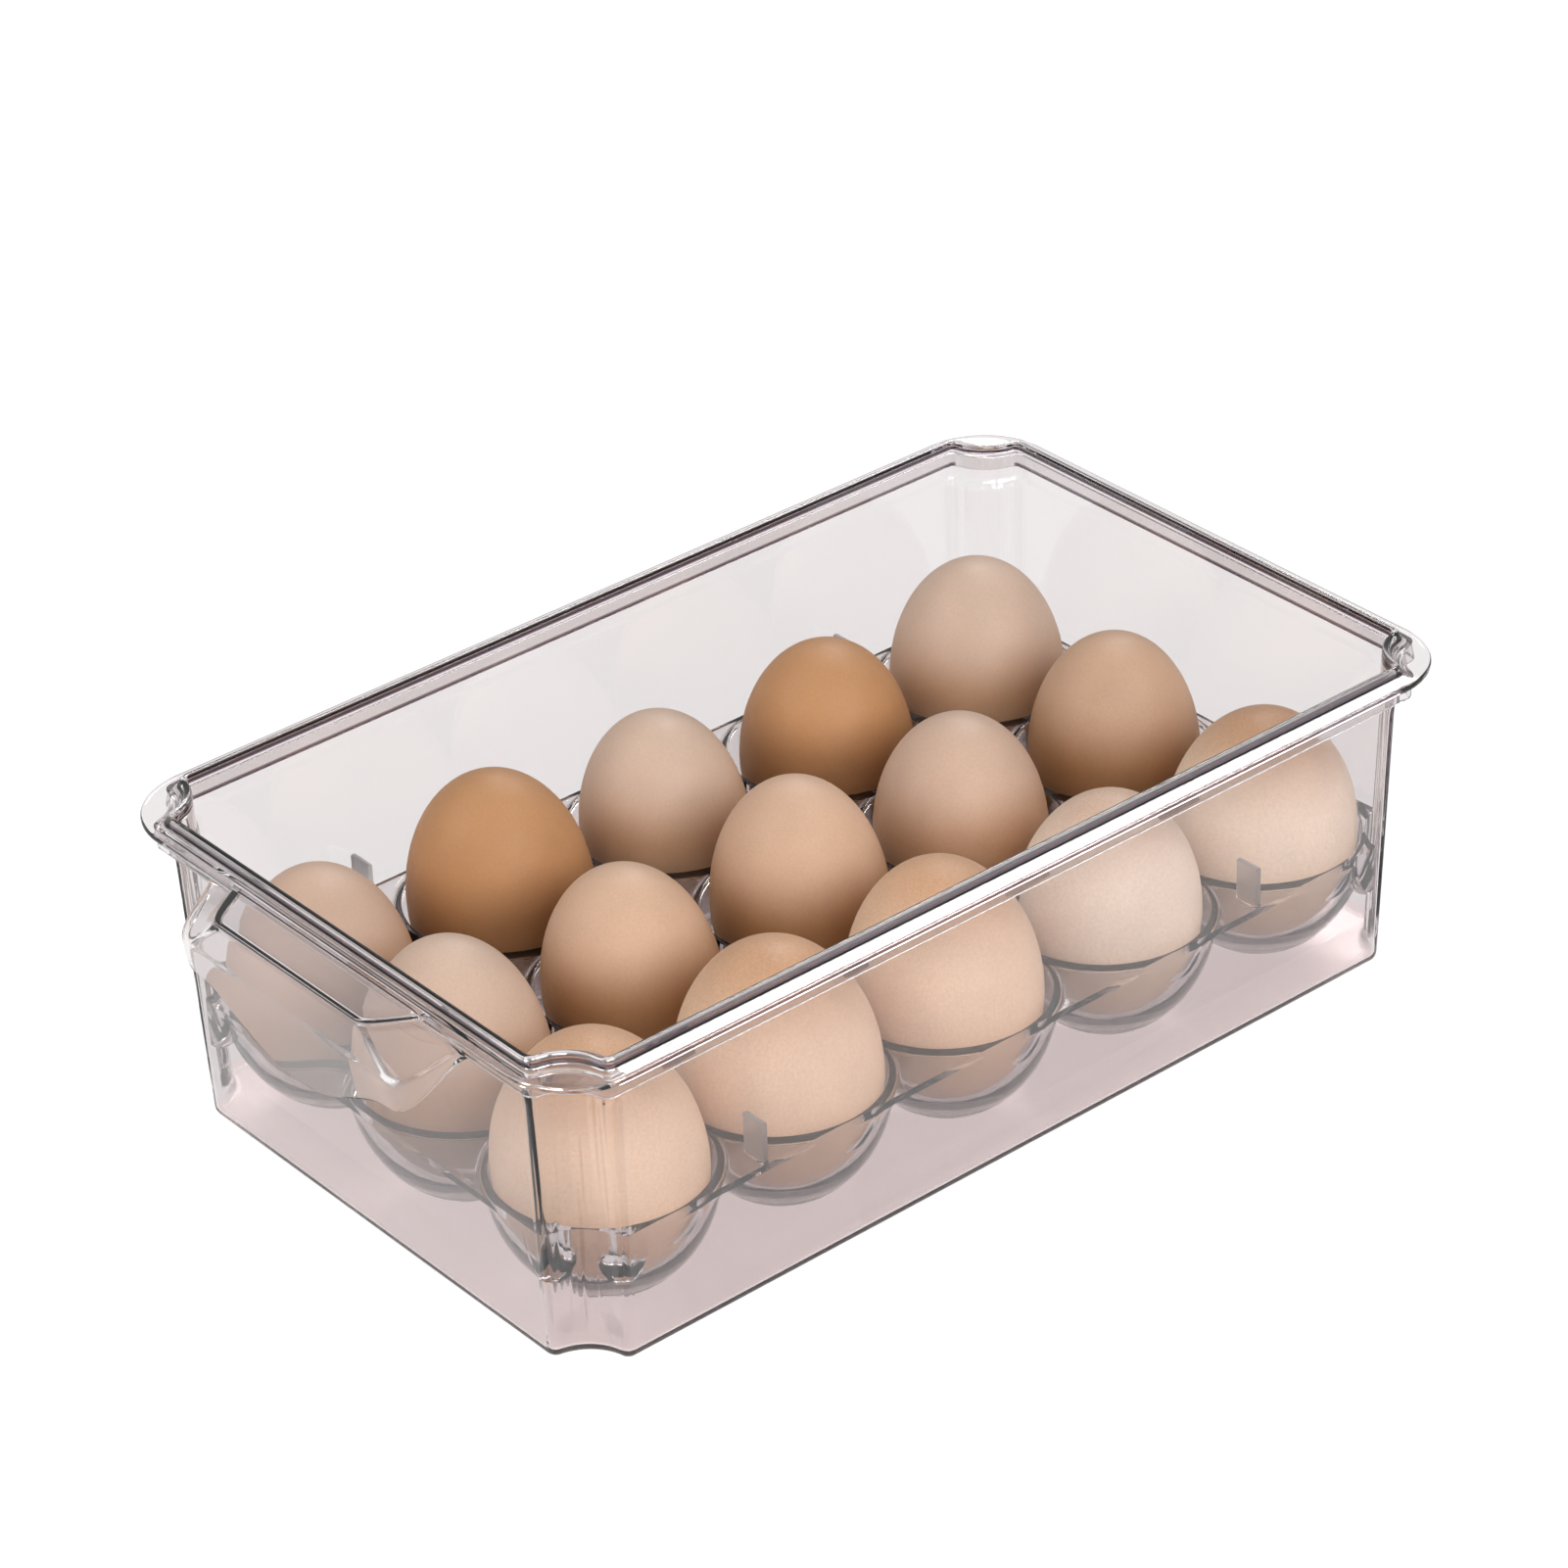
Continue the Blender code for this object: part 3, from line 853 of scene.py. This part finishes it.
def tinted(tree, factor, under, colour):
    """A colour, as a socket or a value, with another one over it as far as the factor says."""
    mix = tree.nodes.new("ShaderNodeMix")
    mix.data_type = "RGBA"
    if isinstance(under, tuple):
        mix.inputs[MIX_UNDER].default_value = (*under, 1)
    else:
        tree.links.new(under, mix.inputs[MIX_UNDER])
    mix.inputs[MIX_OVER].default_value = (*colour, 1)
    tree.links.new(factor, mix.inputs["Factor"])
    return mix.outputs[MIX_RESULT]


def plastic_with_painted_light_and_shade(tree, place):
    """The plastic's colour, paler in the pull as painted light, with painted shade as dark lines at
    the rim's bead, skirt foot and edge.
    """
    split = tree.nodes.new("ShaderNodeSeparateXYZ")
    tree.links.new(place, split.inputs[0])
    # Painted shade at the skirt's foot, on the far side and the far end
    to_side = combine(tree, "MULTIPLY", split.outputs["X"], -1)
    side = rise(tree, to_side, SKIRT_SHADE_PLACE[0], SHADE_BLUR)
    back = rise(tree, split.outputs["Y"], SKIRT_SHADE_PLACE[1], SHADE_BLUR)
    foot = combine(tree, "MULTIPLY", combine(tree, "MAXIMUM", side, back),
                   height_band(tree, split.outputs["Z"], SKIRT_SHADE_HEIGHTS))
    # Painted light: the plastic is paler in the pull, so what lies behind it looks brighter
    to_pull = combine(tree, "MULTIPLY", split.outputs["Y"], -1)
    beyond = rise(tree, to_pull, PULL_PLACE[0], SHADE_BLUR)
    below = combine(tree, "SUBTRACT", 1, rise(tree, split.outputs["Z"], PULL_PLACE[1], SHADE_BLUR))
    colour = tinted(tree, combine(tree, "MULTIPLY", beyond, below), PLASTIC_COLOUR, PULL_PAINTED_LIGHT)
    colour = tinted(tree, foot, colour, SKIRT_SHADE)
    # Painted shade along the flange's outer edge, but not at the pull end
    from_middle = combine(tree, "ABSOLUTE", split.outputs["X"], 0)
    across = rise(tree, from_middle, EDGE_SHADE_PLACE[0], SHADE_BLUR)
    along = rise(tree, split.outputs["Y"], EDGE_SHADE_PLACE[1], SHADE_BLUR)
    high = rise(tree, split.outputs["Z"], PULL_PLACE[1], SHADE_BLUR)
    edge = combine(tree, "MULTIPLY", combine(tree, "MAXIMUM", across, along), high)
    colour = tinted(tree, edge, colour, EDGE_SHADE)
    # Painted shade at the bead
    bead = height_band(tree, split.outputs["Z"], BEAD_SHADE_HEIGHTS)
    return tinted(tree, bead, colour, BEAD_SHADE)


def clear_plastic(name, tint, density, ripple, is_bin=False):
    """Clear plastic: painted shade at the rim and painted light in the pull, matte underside and
    corner streaks, or frosted feet and tabs.
    """
    material, tree, shader, output = new_material(name)
    nodes, links = tree.nodes, tree.links
    shader.inputs["Transmission Weight"].default_value = 1
    shader.inputs["IOR"].default_value = PLASTIC_IOR
    place = nodes.new("ShaderNodeTexCoord")
    waves = nodes.new("ShaderNodeTexNoise")
    waves.inputs["Scale"].default_value = ripple
    waves.inputs["Detail"].default_value = 2
    links.new(place.outputs["Object"], waves.inputs["Vector"])
    haze = nodes.new("ShaderNodeMapRange")
    haze.inputs["From Min"].default_value = NOISE_LOW
    haze.inputs["From Max"].default_value = NOISE_HIGH
    haze.inputs["To Max"].default_value = HAZE
    links.new(waves.outputs["Fac"], haze.inputs["Value"])
    height = nodes.new("ShaderNodeSeparateXYZ")
    links.new(place.outputs["Object"], height.inputs[0])
    matte_top = UNDERSIDE_TOP if is_bin else FROST_FOOT
    above = rise(tree, height.outputs["Z"], matte_top, SHADE_BLUR)
    matte = combine(tree, "SUBTRACT", 1, above)
    if is_bin:
        rim = plastic_with_painted_light_and_shade(tree, place.outputs["Object"])
        links.new(tinted(tree, matte, rim, UNDERSIDE_COLOUR), shader.inputs["Base Color"])
    else:
        tabs = rise(tree, height.outputs["Z"], FROST_TOP, SHADE_BLUR)
        matte = combine(tree, "MAXIMUM", matte, tabs)
        links.new(tinted(tree, matte, PLASTIC_COLOUR, FROST_COLOUR), shader.inputs["Base Color"])
    rough = nodes.new("ShaderNodeMapRange")
    rough.inputs["To Max"].default_value = UNDERSIDE_ROUGHNESS if is_bin else FROST_ROUGHNESS
    links.new(matte, rough.inputs["Value"])
    links.new(haze.outputs["Result"], rough.inputs["To Min"])
    links.new(rough.outputs["Result"], shader.inputs["Roughness"])
    bump = nodes.new("ShaderNodeBump")
    bump.inputs["Strength"].default_value = RIPPLE_STRENGTH
    bump.inputs["Distance"].default_value = RIPPLE_DEPTH
    links.new(waves.outputs["Fac"], bump.inputs["Height"])
    if is_bin:
        ridges = nodes.new("ShaderNodeBump")
        ridges.inputs["Strength"].default_value = 1
        ridges.inputs["Distance"].default_value = STREAK_DEPTH
        links.new(corner_streaks(tree, place.outputs["Object"]), ridges.inputs["Height"])
        links.new(bump.outputs["Normal"], ridges.inputs["Normal"])
        bump = ridges
    links.new(bump.outputs["Normal"], shader.inputs["Normal"])
    path = nodes.new("ShaderNodeLightPath")
    through = nodes.new("ShaderNodeBsdfTransparent")
    through.inputs["Color"].default_value = (*PLASTIC_SHADOW, 1)
    mix = nodes.new("ShaderNodeMixShader")
    links.new(path.outputs["Is Shadow Ray"], mix.inputs[0])
    links.new(shader.outputs[0], mix.inputs[1])
    links.new(through.outputs[0], mix.inputs[2])
    links.new(mix.outputs[0], output.inputs["Surface"])
    absorb = nodes.new("ShaderNodeVolumeAbsorption")
    absorb.inputs["Color"].default_value = (*tint, 1)
    absorb.inputs["Density"].default_value = density
    links.new(absorb.outputs[0], output.inputs["Volume"])
    return material


def shell_material(name, base, seed, speckle, heights):
    """An egg shell: soft patches, fine specks, painted shade and light by height over its tone, and
    pores.
    """
    material, tree, shader, output = new_material(name)
    nodes, links = tree.nodes, tree.links
    place = nodes.new("ShaderNodeTexCoord")
    shift = nodes.new("ShaderNodeMapping")
    shift.inputs["Location"].default_value = tuple(seed * step for step in SEED_SHIFT)
    links.new(place.outputs["Object"], shift.inputs["Vector"])

    def noise(scale, detail, rough=0.5):
        node = nodes.new("ShaderNodeTexNoise")
        node.inputs["Scale"].default_value = scale
        node.inputs["Detail"].default_value = detail
        node.inputs["Roughness"].default_value = rough
        links.new(shift.outputs["Vector"], node.inputs["Vector"])
        return node

    def ramp(source, low, high, dark, light):
        node = nodes.new("ShaderNodeValToRGB")
        node.color_ramp.elements[0].position = low
        node.color_ramp.elements[1].position = high
        node.color_ramp.elements[0].color = (*dark, 1)
        node.color_ramp.elements[1].color = (*light, 1)
        links.new(source.outputs["Fac"], node.inputs["Fac"])
        return node

    def multiply(first, second):
        node = nodes.new("ShaderNodeMix")
        node.data_type = "RGBA"
        node.blend_type = "MULTIPLY"
        node.inputs["Factor"].default_value = 1
        links.new(first, node.inputs[MIX_UNDER])
        links.new(second, node.inputs[MIX_OVER])
        return node.outputs[MIX_RESULT]

    dark = tuple(c * PATCH_DARK for c in base)
    light = tuple(min(c * PATCH_LIGHT, 1) for c in base)
    tone = ramp(noise(PATCH_SCALE, 3), NOISE_LOW, NOISE_HIGH, dark, light)
    dark = tuple(1 - speckle * c for c in SPECK_TINT)
    light = (1 + speckle / 2,) * 3
    speck = ramp(noise(SPECK_SCALE, 2, 0.6), *SPECK_RANGE, dark, light)
    colour = multiply(tone.outputs["Color"], speck.outputs["Color"])
    # Painted shade and light: colours by height that multiply the shell's colour
    height = nodes.new("ShaderNodeSeparateXYZ")
    links.new(place.outputs["Object"], height.inputs[0])
    level = nodes.new("ShaderNodeMapRange")
    level.inputs["From Max"].default_value = PAINTED_SHADING_TOP
    links.new(height.outputs["Z"], level.inputs["Value"])
    painted_shading_ramp = nodes.new("ShaderNodeValToRGB")
    painted_shading_ramp.color_ramp.interpolation = "EASE"
    stops = painted_shading_ramp.color_ramp.elements
    for _ in heights[2:]:
        stops.new(0.5)
    for stop, (place_z, tint) in zip(stops, heights):
        stop.position = place_z / PAINTED_SHADING_TOP
        stop.color = (*tint, 1)
    links.new(level.outputs["Result"], painted_shading_ramp.inputs["Fac"])
    colour = multiply(colour, painted_shading_ramp.outputs["Color"])
    links.new(colour, shader.inputs["Base Color"])
    smoother, rougher = ((value,) * 3 for value in SHELL_ROUGHNESS)
    matte = ramp(noise(GLOSS_SCALE, 2), NOISE_LOW, NOISE_HIGH, smoother, rougher)
    links.new(matte.outputs["Color"], shader.inputs["Roughness"])
    pores = noise(PORE_SCALE, 3, 0.7)
    bump = nodes.new("ShaderNodeBump")
    bump.inputs["Strength"].default_value = PORE_STRENGTH
    bump.inputs["Distance"].default_value = PORE_DEPTH
    links.new(pores.outputs["Fac"], bump.inputs["Height"])
    links.new(bump.outputs["Normal"], shader.inputs["Normal"])
    shader.inputs["Subsurface Weight"].default_value = SHELL_SCATTER
    shader.inputs["Subsurface Radius"].default_value = SHELL_SCATTER_COLOUR
    shader.inputs["Subsurface Scale"].default_value = SHELL_SCATTER_DEPTH
    return material


# Building

body = make_bin()
tray = make_tray()
eggs = make_eggs()

clear_bin = clear_plastic("clear_bin", PLASTIC_TINT, BIN_DENSITY, BIN_RIPPLE, True)
clear_tray = clear_plastic("clear_tray", PLASTIC_TINT, TRAY_DENSITY, TRAY_RIPPLE)
body.data.materials.clear()
body.data.materials.append(clear_bin)
tray.data.materials.clear()
tray.data.materials.append(clear_tray)
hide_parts("bin")
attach(body, "bin")
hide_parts("egg_tray")
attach(tray, "tray")

for index, (name, egg) in enumerate(eggs.items()):
    row, column = divmod(index, COLUMNS)
    tone = TONES[row][column]
    shell = shell_material("shell_" + name[4:], tone, index + 1, SPECKLES[row], PAINTED_SHADING_BY_HEIGHT[tone])
    egg.data.materials.clear()
    egg.data.materials.append(shell)
    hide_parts(name)
    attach(egg, name + "_body")


# Floor, lights, world, camera

def seen_directly(tree, fade):
    """1 for rays from the eye, a faded share for rays in gloss or through plastic, else 0."""
    path = tree.nodes.new("ShaderNodeLightPath")
    gloss = combine(tree, "MULTIPLY", path.outputs["Is Glossy Ray"], GLOSS_SHARE)
    other = combine(tree, "MAXIMUM", gloss, path.outputs["Is Transmission Ray"])
    other = combine(tree, "MULTIPLY", other, fade)
    unlit = combine(tree, "LESS_THAN", path.outputs["Diffuse Depth"], 0.5)
    seen = combine(tree, "MAXIMUM", path.outputs["Is Camera Ray"], other)
    return combine(tree, "MULTIPLY", seen, unlit)


def fall(tree, source, start, end, low):
    """1 up to the start, then a soft fall to the low value at the end."""
    node = tree.nodes.new("ShaderNodeMapRange")
    node.interpolation_type = "SMOOTHSTEP"
    node.inputs["From Min"].default_value = start
    node.inputs["From Max"].default_value = end
    node.inputs["To Min"].default_value = 1
    node.inputs["To Max"].default_value = low
    tree.links.new(source, node.inputs["Value"])
    return node.outputs["Result"]


def make_floor():
    """A pale floor that looks white to the eye and keeps the part's shadow."""
    bm = bmesh.new()
    bmesh.ops.create_grid(bm, x_segments=1, y_segments=1, size=FLOOR_SIZE)
    floor = add_object("floor", mesh_from(bm, "floor"), (0, 0, -FLOOR_DROP))
    material, tree, shader, output = new_material("floor_white")
    shader.inputs["Base Color"].default_value = (FLOOR_GREY, FLOOR_GREY, FLOOR_GREY, 1)
    shader.inputs["Roughness"].default_value = FLOOR_ROUGHNESS
    shader.inputs["Specular IOR Level"].default_value = 0
    nodes, links = tree.nodes, tree.links
    glow = nodes.new("ShaderNodeEmission")
    glow.inputs["Strength"].default_value = FLOOR_GLOW
    mix = nodes.new("ShaderNodeMixShader")
    spot = nodes.new("ShaderNodeTexCoord")
    far = nodes.new("ShaderNodeVectorMath")
    far.operation = "LENGTH"
    links.new(spot.outputs["Object"], far.inputs[0])
    seen = seen_directly(tree, fall(tree, far.outputs["Value"], *FLOOR_FADE))
    links.new(combine(tree, "MULTIPLY", seen, FLOOR_WHITE), mix.inputs[0])
    links.new(shader.outputs[0], mix.inputs[1])
    links.new(glow.outputs[0], mix.inputs[2])
    links.new(mix.outputs[0], output.inputs["Surface"])
    floor.data.materials.append(material)


def add_light(name, size, energy, place):
    """An area lamp aimed at the part, with its size in metres and its power in watts."""
    data = bpy.data.lights.new(name, "AREA")
    data.shape = "RECTANGLE"
    data.size, data.size_y = size
    data.energy = energy
    lamp = bpy.data.objects.new(name, data)
    lamp.visible_camera = False
    lamp.location = place
    lamp.rotation_euler = (Vector(LAMP_AIM) - Vector(place)).to_track_quat("-Z", "Y").to_euler()
    rest.objects.link(lamp)
    return lamp


def make_world():
    """A plain sky for light, and a white backdrop that only the eye, gloss and plastic see."""
    world = bpy.data.worlds.new("studio")
    scene.world = world
    world.use_nodes = True
    tree = world.node_tree
    nodes, links = tree.nodes, tree.links
    sky = nodes["Background"]
    sky.inputs["Color"].default_value = (1, 1, 1, 1)
    sky.inputs["Strength"].default_value = SKY_LIGHT
    room = nodes.new("ShaderNodeBackground")
    room.inputs["Color"].default_value = (1, 1, 1, 1)
    direction = nodes.new("ShaderNodeTexCoord")
    split = nodes.new("ShaderNodeSeparateXYZ")
    links.new(direction.outputs["Generated"], split.inputs[0])
    mix = nodes.new("ShaderNodeMixShader")
    toward_backdrop = nodes.new("ShaderNodeVectorMath")
    toward_backdrop.operation = "DOT_PRODUCT"
    toward_backdrop.inputs[1].default_value = BACKDROP_SIDE
    links.new(direction.outputs["Generated"], toward_backdrop.inputs[0])
    raised = combine(tree, "MAXIMUM", toward_backdrop.outputs["Value"], 0)
    raised = combine(tree, "MULTIPLY", raised, BACKDROP_HEIGHT)
    height = combine(tree, "SUBTRACT", split.outputs["Z"], raised)
    links.new(seen_directly(tree, fall(tree, height, *SKY_FADE)), mix.inputs[0])
    links.new(sky.outputs[0], mix.inputs[1])
    links.new(room.outputs[0], mix.inputs[2])
    links.new(mix.outputs[0], nodes["World Output"].inputs["Surface"])


def make_camera():
    data = bpy.data.cameras.new("camera")
    data.sensor_width = SENSOR
    data.lens = LENS
    data.clip_start = CAMERA_NEAR
    data.clip_end = CAMERA_FAR
    camera = bpy.data.objects.new("camera", data)
    rest.objects.link(camera)
    azimuth, elevation, roll = (radians(angle) for angle in CAMERA_ANGLES)
    back = Vector((sin(azimuth) * cos(elevation), -cos(azimuth) * cos(elevation), sin(elevation)))
    right = Vector((cos(azimuth), sin(azimuth), 0))
    up = back.cross(right)
    right, up = right * cos(roll) + up * sin(roll), up * cos(roll) - right * sin(roll)
    place = Vector(CAMERA_AIM) + back * CAMERA_DISTANCE
    camera.matrix_world = Matrix((
        (right.x, up.x, back.x, place.x),
        (right.y, up.y, back.y, place.y),
        (right.z, up.z, back.z, place.z),
        (0, 0, 0, 1),
    ))
    scene.camera = camera


make_floor()
add_light("key", (0.9, 0.9), 11, (1.40, 0.12, 1.00))
add_light("front", (0.7, 0.7), 5, (1.14, -0.80, 0.95))
add_light("fill", (0.9, 0.9), 7, (-0.55, -1.20, 1.15))
shine = add_light("shine", (0.8, 0.7), 20, (-0.80, 1.14, 1.55))
shine.visible_diffuse = False

make_world()
make_camera()
scene.view_settings.view_transform = "Standard"
